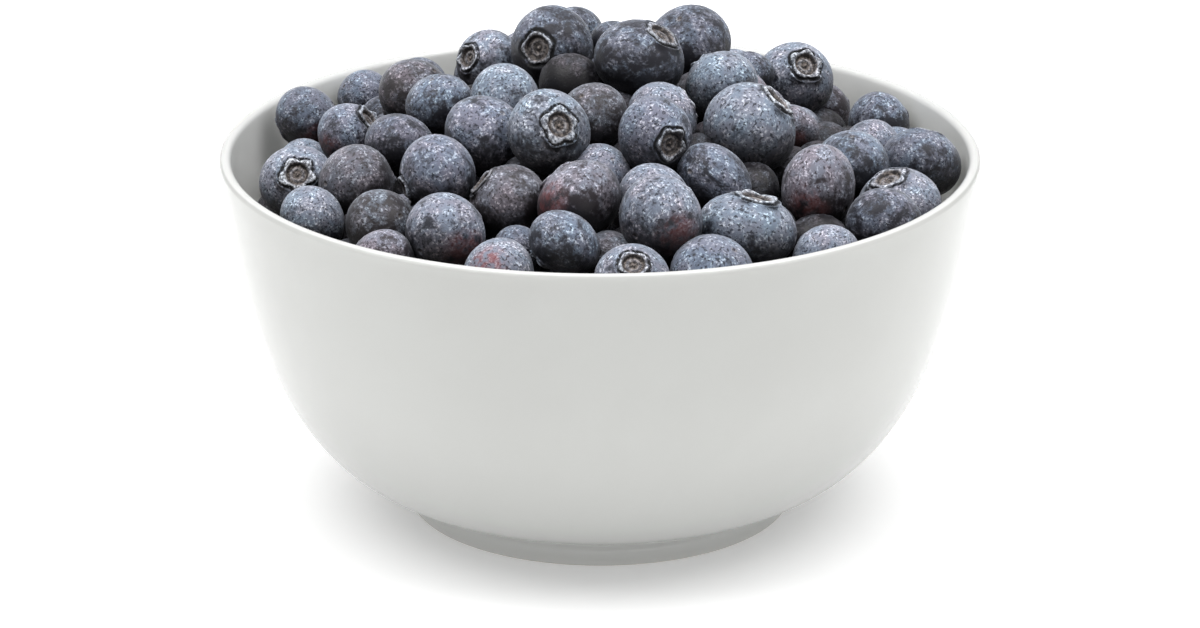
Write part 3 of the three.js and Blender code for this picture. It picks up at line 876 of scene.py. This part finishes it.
def porcelain():
    """White glazed porcelain, faintly uneven, with bare biscuit on the foot ring's underside,
    painted shade low on the outer wall, painted light on the foot ring and inner wall and a painted
    highlight on the lip.
    """
    nodes = Nodes("porcelain")
    place = nodes.add("ShaderNodeTexCoord").outputs["Object"]
    cloud = nodes.noise(place, CLOUD_SCALE, detail=3)
    grain = nodes.noise(place, GRAIN_SCALE, detail=2)
    height = nodes.add("ShaderNodeSeparateXYZ", Vector=place).outputs["Z"]
    wall = nodes.mix(nodes.between(cloud, *CLOUD_RANGE), *GLAZE_WALL)
    # Painted shade: the outer wall darkens towards the bottom.
    wall = nodes.mix(nodes.between(height, *LOW_WALL_HEIGHTS), PAINTED_SHADE_LOW_WALL, wall)
    # Painted light: the foot ring is lighter than the wall just above it.
    outside = nodes.mix(nodes.between(height, *FOOT_HEIGHTS), wall, PAINTED_LIGHT_FOOT)
    # Painted light on the inner wall, and a painted highlight on most of the lip.
    glaze_with_painted_light = nodes.mix(nodes.attribute("inside"), outside, PAINTED_LIGHT_INSIDE)
    bare = nodes.between(height, *BISCUIT_HEIGHTS)
    rough = nodes.add(
        "ShaderNodeMapRange", Value=bare, To_Min=GLAZE_ROUGHNESS, To_Max=BISCUIT_ROUGHNESS)
    nodes.set("Base Color", nodes.mix(bare, glaze_with_painted_light, BISCUIT))
    nodes.set("Roughness", rough.outputs[0])
    nodes.set("Specular IOR Level", 0.4)
    nodes.set("Subsurface Weight", 0.6)
    nodes.set("Subsurface Radius", (1, 1, 1))
    nodes.set("Subsurface Scale", 0.004)
    nodes.set("Coat Weight", 0.15)
    nodes.set("Coat Roughness", 0.08)
    waves = nodes.bump(cloud, strength=0.08, distance=0.002)
    nodes.set("Normal", nodes.bump(grain, strength=0.03, distance=0.0002, normal=waves))
    return nodes.material


# Looks of each kind of berry: its bare skin, its bloom, the bloom's brightest dust, how much more
# of the berry the bloom covers than usual, and how strong the soft sheen on top is. The shaded
# looks, darker copies that are painted shade, are for the layer below and the core.
Tone = namedtuple("Tone", "skin bloom bright cover sheen", defaults=(0.7,))
TONES = {
    BLUE: Tone((0.013, 0.014, 0.022), (0.134, 0.150, 0.194), (0.62, 0.67, 0.74), 0.02),
    DARK: Tone((0.012, 0.012, 0.019), (0.106, 0.117, 0.152), (0.49, 0.52, 0.58), 0.0),
    BROWN: Tone((0.020, 0.016, 0.018), (0.112, 0.109, 0.127), (0.50, 0.50, 0.54), 0.0),
    MAUVE: Tone((0.022, 0.016, 0.021), (0.162, 0.157, 0.185), (0.63, 0.62, 0.69), 0.03),
    PALE: Tone((0.018, 0.020, 0.030), (0.176, 0.194, 0.238), (0.76, 0.80, 0.86), 0.06),
}
SHADED = Tone((0.008, 0.007, 0.009), (0.050, 0.048, 0.055), (0.16, 0.16, 0.18), -0.02, 0.1)

# Colours that all berries share. A pair is two ends of a range, and the tints are factors.
BERRY_TINTS = ((1.03, 0.985, 1.00), (0.94, 1.00, 1.02))
PATCH_TINTS = ((1.05, 0.98, 0.99), (0.92, 1.00, 1.05))
# Painted shade: a warmer tint for skin that faces down, none for skin that faces up.
PAINTED_SHADE_WARMTH = ((1.16, 0.98, 0.90), (1.0, 1.0, 1.0))
FLUSH_RED = (0.19, 0.050, 0.050)
# Painted shade that specks the crown's pale lobes.
LOBE_PAINTED_SHADE = (0.085, 0.085, 0.092)
DISH_BROWNS = ((0.032, 0.025, 0.023), (0.21, 0.175, 0.155))
# Painted shade in the crown's groove and the dish's hollows.
GROOVE_PAINTED_SHADE = (0.004, 0.004, 0.005)
SHEEN_BLUE = (0.86, 0.91, 1.0)

# Noise patterns on the skin: scale, detail, roughness and, where there is one, distortion.
PATCH_NOISE = (1.4, 5, 0.62, 0.5)
MOTTLE_NOISE = (4.2, 4, 0.6)
SPECK_NOISE = (9, 3, 0.6)
FINE_NOISE = (15, 3, 0.6)
PIT_NOISE = (13, 2, 0.55)
TINT_NOISE = (1.9, 3, 0.6)

# The bloom's cover adds up from patterns, from a draw for each berry and from how far up the skin
# faces, each with a weight; the share from facing up is painted light, more pale bloom on top.
PATCH_WEIGHT = 0.56
MOTTLE_WEIGHT = 0.30
SPECK_WEIGHT = 0.24
BERRY_WEIGHT = 0.08
PAINTED_LIGHT_UP_WEIGHT = 0.07

# Ranges of a pattern's values over which a part of the looks goes from none to full.
BLOOM_RANGE = (0.55, 0.685)
DUST_FINE_RANGE = (0.47, 0.70)
DUST_MOTTLE_RANGE = (0.38, 0.62)
TINT_RANGE = (0.38, 0.62)
PIT_RANGE = (0.445, 0.36)
FLUSH_RANGE = (0.35, 0.6)
LOBE_RANGE = (0.41, 0.60)
DISH_RANGE = (0.4, 0.62)
GROOVE_RANGE = (0.66, 0.50)

# Shares of full strength.
PIT_STRENGTH = 0.9
FLUSH_STRENGTH = 0.75
LOBE_STRENGTH = 0.76

# Painted shade and light: skin that faces down, at -1, is darker, warmer and without sheen; skin
# that faces up, at 1, isn't, and is brighter, its sheen a painted highlight.
SHADE_FACING = (-0.5, 0.95)
SHADE_FACTORS = (0.12, 1.5)
SHADE_WARM_FACING = (-0.6, 0.3)
SHEEN_FACING = (-0.1, 0.9)
LEAST_SHEEN = 0.05
SKIN_ROUGHNESS = 0.42
BLOOM_ROUGHNESS = 0.75


def berry_skin(name, tone):
    """Dark skin under a dusty bloom, worn in patches and specked all over, lit on top and darkened
    below as painted light and painted shade.
    """
    nodes = Nodes(name)
    skin = nodes.attribute("skin", "Vector")
    normal = nodes.add("ShaderNodeNewGeometry").outputs["Normal"]
    facing_up = nodes.add("ShaderNodeSeparateXYZ", Vector=normal).outputs["Z"]
    patches = nodes.noise(skin, *PATCH_NOISE)
    mottle = nodes.noise(skin, *MOTTLE_NOISE)
    specks = nodes.noise(skin, *SPECK_NOISE)
    fine = nodes.noise(skin, *FINE_NOISE)
    # Painted light: more pale bloom where the skin faces up.
    cover = nodes.weighted(
        (patches, PATCH_WEIGHT), (mottle, MOTTLE_WEIGHT), (specks, SPECK_WEIGHT),
        (nodes.attribute("bloom"), BERRY_WEIGHT), (facing_up, PAINTED_LIGHT_UP_WEIGHT))
    bloom = nodes.between(cover, *(limit - tone.cover for limit in BLOOM_RANGE))
    colour = nodes.mix(bloom, tone.skin, bloom_colour(nodes, tone, skin, mottle, fine))
    pits = nodes.between(nodes.noise(skin, *PIT_NOISE), *PIT_RANGE)
    colour = nodes.mix(nodes.math("MULTIPLY", pits, PIT_STRENGTH), colour, tone.skin)
    flush = nodes.math("MULTIPLY", nodes.attribute("flush"), nodes.between(mottle, *FLUSH_RANGE))
    colour = nodes.mix(nodes.math("MULTIPLY", flush, FLUSH_STRENGTH), colour, FLUSH_RED)
    colour = crown_colour(nodes, tone, colour, specks, fine)
    # Painted shade below, painted light above: skin that faces down is warmer and darker, skin that
    # faces up brighter.
    shade_warmth = nodes.mix(nodes.between(facing_up, *SHADE_WARM_FACING), *PAINTED_SHADE_WARMTH)
    shade = nodes.between(facing_up, *SHADE_FACING, *SHADE_FACTORS)
    nodes.set("Base Color", nodes.scaled(nodes.times(colour, shade_warmth), shade))
    nodes.set("Roughness", nodes.between(bloom, 0, 1, SKIN_ROUGHNESS, BLOOM_ROUGHNESS))
    nodes.set("Specular IOR Level", 0.4)
    # Painted highlight: the sheen stays on skin that faces up.
    nodes.set("Sheen Weight", nodes.between(facing_up, *SHEEN_FACING, LEAST_SHEEN, tone.sheen))
    nodes.set("Sheen Roughness", 0.4)
    nodes.set("Sheen Tint", SHEEN_BLUE)
    relief = nodes.bump(bloom, strength=0.3, distance=0.0004)
    nodes.set("Normal", nodes.bump(fine, strength=0.25, distance=0.0003, normal=relief))
    return nodes.material


def bloom_colour(nodes, tone, skin, mottle, fine):
    """Dusty bloom with brighter dust in places, tinted from berry to berry and patch to patch."""
    dusty = nodes.math(
        "MULTIPLY", nodes.between(fine, *DUST_FINE_RANGE), nodes.between(mottle, *DUST_MOTTLE_RANGE))
    dust = nodes.mix(dusty, tone.bloom, tone.bright)
    berry_tint = nodes.mix(nodes.attribute("hue"), *BERRY_TINTS)
    patch = nodes.between(nodes.noise(skin, *TINT_NOISE), *TINT_RANGE)
    return nodes.times(nodes.times(dust, berry_tint), nodes.mix(patch, *PATCH_TINTS))


def crown_colour(nodes, tone, colour, specks, fine):
    """The skin's colour with the crown's pale lobes specked with painted shade, brown dish and
    broken painted shade in the groove and hollows on it.
    """
    # Painted shade specks the crown's pale lobes.
    lobes = nodes.mix(nodes.between(fine, *LOBE_RANGE), LOBE_PAINTED_SHADE, tone.bright)
    crown = nodes.math("MULTIPLY", nodes.attribute("crown"), LOBE_STRENGTH)
    colour = nodes.mix(crown, colour, lobes)
    dish = nodes.mix(nodes.between(fine, *DISH_RANGE), *DISH_BROWNS)
    colour = nodes.mix(nodes.attribute("dish"), colour, dish)
    # Painted shade in the groove and the dish's hollows, broken by specks.
    broken = nodes.between(specks, *GROOVE_RANGE)
    groove = nodes.math("MULTIPLY", nodes.attribute("groove"), broken)
    return nodes.mix(groove, colour, GROOVE_PAINTED_SHADE)


# The floor glows faintly, and less so under the bowl: distances from its middle in metres, and
# how strongly it glows there.
GLOW_DISTANCES = (0.035, 0.10)
GLOW_STRENGTHS = (0.22, 0.44)
FLOOR_WHITES = ((0.89, 0.89, 0.89), (0.91, 0.91, 0.91))
FLOOR_CLOUD_SCALE = 3
FLOOR_CLOUD_RANGE = (0.3, 0.7)
FLOOR_REACH = 3000


def floor_material():
    nodes = Nodes("floor")
    place = nodes.add("ShaderNodeTexCoord").outputs["Object"]
    cloud = nodes.noise(place, FLOOR_CLOUD_SCALE, detail=2)
    nodes.set("Base Color", nodes.mix(nodes.between(cloud, *FLOOR_CLOUD_RANGE), *FLOOR_WHITES))
    nodes.set("Roughness", 0.9)
    nodes.set("Specular IOR Level", 0.1)
    distance = nodes.add("ShaderNodeVectorMath", {"operation": "LENGTH"}, Vector=place)
    glow = nodes.between(distance.outputs["Value"], *GLOW_DISTANCES, *GLOW_STRENGTHS)
    nodes.set("Emission Color", WHITE)
    nodes.set("Emission Strength", glow)
    return nodes.material


def finish_piece(piece, node):
    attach(piece, BODY)
    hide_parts(node)


def build_bowl():
    """The bowl, with a mask for its inner wall and most of its lip, which share a lighter colour:
    painted light on the wall and a painted highlight on the lip.
    """
    profile = bowl_profile()
    verts, faces = revolve(profile, BOWL_SIDES)
    bowl = make_piece("porcelain_bowl", verts, faces, porcelain())
    inside_steps = LIP_STEPS - LIP_OUTSIDE_STEPS + INNER_STEPS
    inside = np.zeros(len(profile))
    inside[-inside_steps:] = 1
    rings = np.repeat(inside[1:-1], BOWL_SIDES)
    mask = np.concatenate([inside[:1], rings, inside[-1:]])
    add_attribute(bowl.data, "inside", "FLOAT", mask)
    finish_piece(bowl, "bowl")


def build_heap():
    """One piece for each kind of berry, and one for the layer below and the core under them all,
    which are in painted shade.
    """
    berries = shown_berries()
    add_fillers(berries)
    under = under_berries(berries)
    for number, berry in enumerate(berries + under):
        berry.draw = random_from(LOOKS_SEED + number)
        if berry.shown is None:
            berry.kind = list(TONES)[int(berry.draw() * len(TONES))]
    for kind, tone in TONES.items():
        chosen = [berry for berry in berries if berry.kind == kind]
        material = berry_skin("skin_" + kind, tone)
        piece = join_berries("berries_" + kind, chosen, BERRY_SIDES, BERRY_RINGS, material)
        finish_piece(piece, "blueberries")
    # Painted shade: the layer below and the core take darker copies of the berries' looks.
    shaded = berry_skin("skin_shaded", SHADED)
    piece = join_berries("berries_below", under, UNDER_SIDES, UNDER_RINGS, shaded)
    finish_piece(piece, "blueberries")
    verts, faces = revolve(core_profile(), CORE_SIDES)
    core = make_piece("berries_core", verts, faces, shaded)
    add_attribute(core.data, "skin", "FLOAT_VECTOR", verts / CORE_SKIN_SCALE)
    finish_piece(core, "blueberries")


# Studio light: each lamp's name, its place and its size across in metres, and its power in watts.
WORLD_STRENGTH = 0.47
LAMP_AIM = (0, 0, 0.07)
LAMPS = (
    ("overhead", (0.0, 0.1, 1.15), 1.2, 5),
    ("left", (-0.64, -0.22, 1.1), 0.9, 6.2),
    ("right", (0.64, -0.22, 1.1), 0.9, 5.8),
)


def build_stage():
    verts = [(x * FLOOR_REACH, y * FLOOR_REACH, 0) for x, y in ((-1, -1), (1, -1), (1, 1), (-1, 1))]
    floor = make_piece("floor", verts, [(0, 1, 2, 3)], floor_material())
    floor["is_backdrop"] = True
    world = bpy.data.worlds.new("studio")
    world.use_nodes = True
    background = world.node_tree.nodes["Background"]
    background.inputs["Color"].default_value = (*WHITE, 1)
    background.inputs["Strength"].default_value = WORLD_STRENGTH
    bpy.context.scene.world = world
    for lamp in LAMPS:
        add_lamp(*lamp)


def add_lamp(name, place, size, power):
    """A round soft light turned towards the heap."""
    light = bpy.data.lights.new(name, "AREA")
    light.shape = "DISK"
    light.size = size
    light.energy = power
    lamp = bpy.data.objects.new(name, light)
    lamp.location = place
    away = Vector(place) - Vector(LAMP_AIM)
    lamp.rotation_euler = away.to_track_quat("Z", "Y").to_euler()
    bpy.context.scene.collection.objects.link(lamp)


def build_camera():
    camera = bpy.data.cameras.new("camera")
    camera.sensor_width = SENSOR_WIDTH
    camera.lens = SENSOR_WIDTH * PICTURE_FOCAL / PICTURE_WIDTH
    camera.clip_end = CLIP_END
    eye = bpy.data.objects.new("camera", camera)
    eye.location = (VIEWPOINT * MM).tolist()
    eye.rotation_euler = (math.pi / 2 - VIEW_ELEVATION, 0, 0)
    bpy.context.scene.collection.objects.link(eye)
    bpy.context.scene.camera = eye


build_camera()
build_stage()
build_bowl()
build_heap()
bpy.context.scene.view_settings.view_transform = "Standard"

dressed_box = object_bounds()
boxes = {"cad": cad_box, "dressed": dressed_box}
{name: [list(corner) for corner in box] for name, box in boxes.items()}
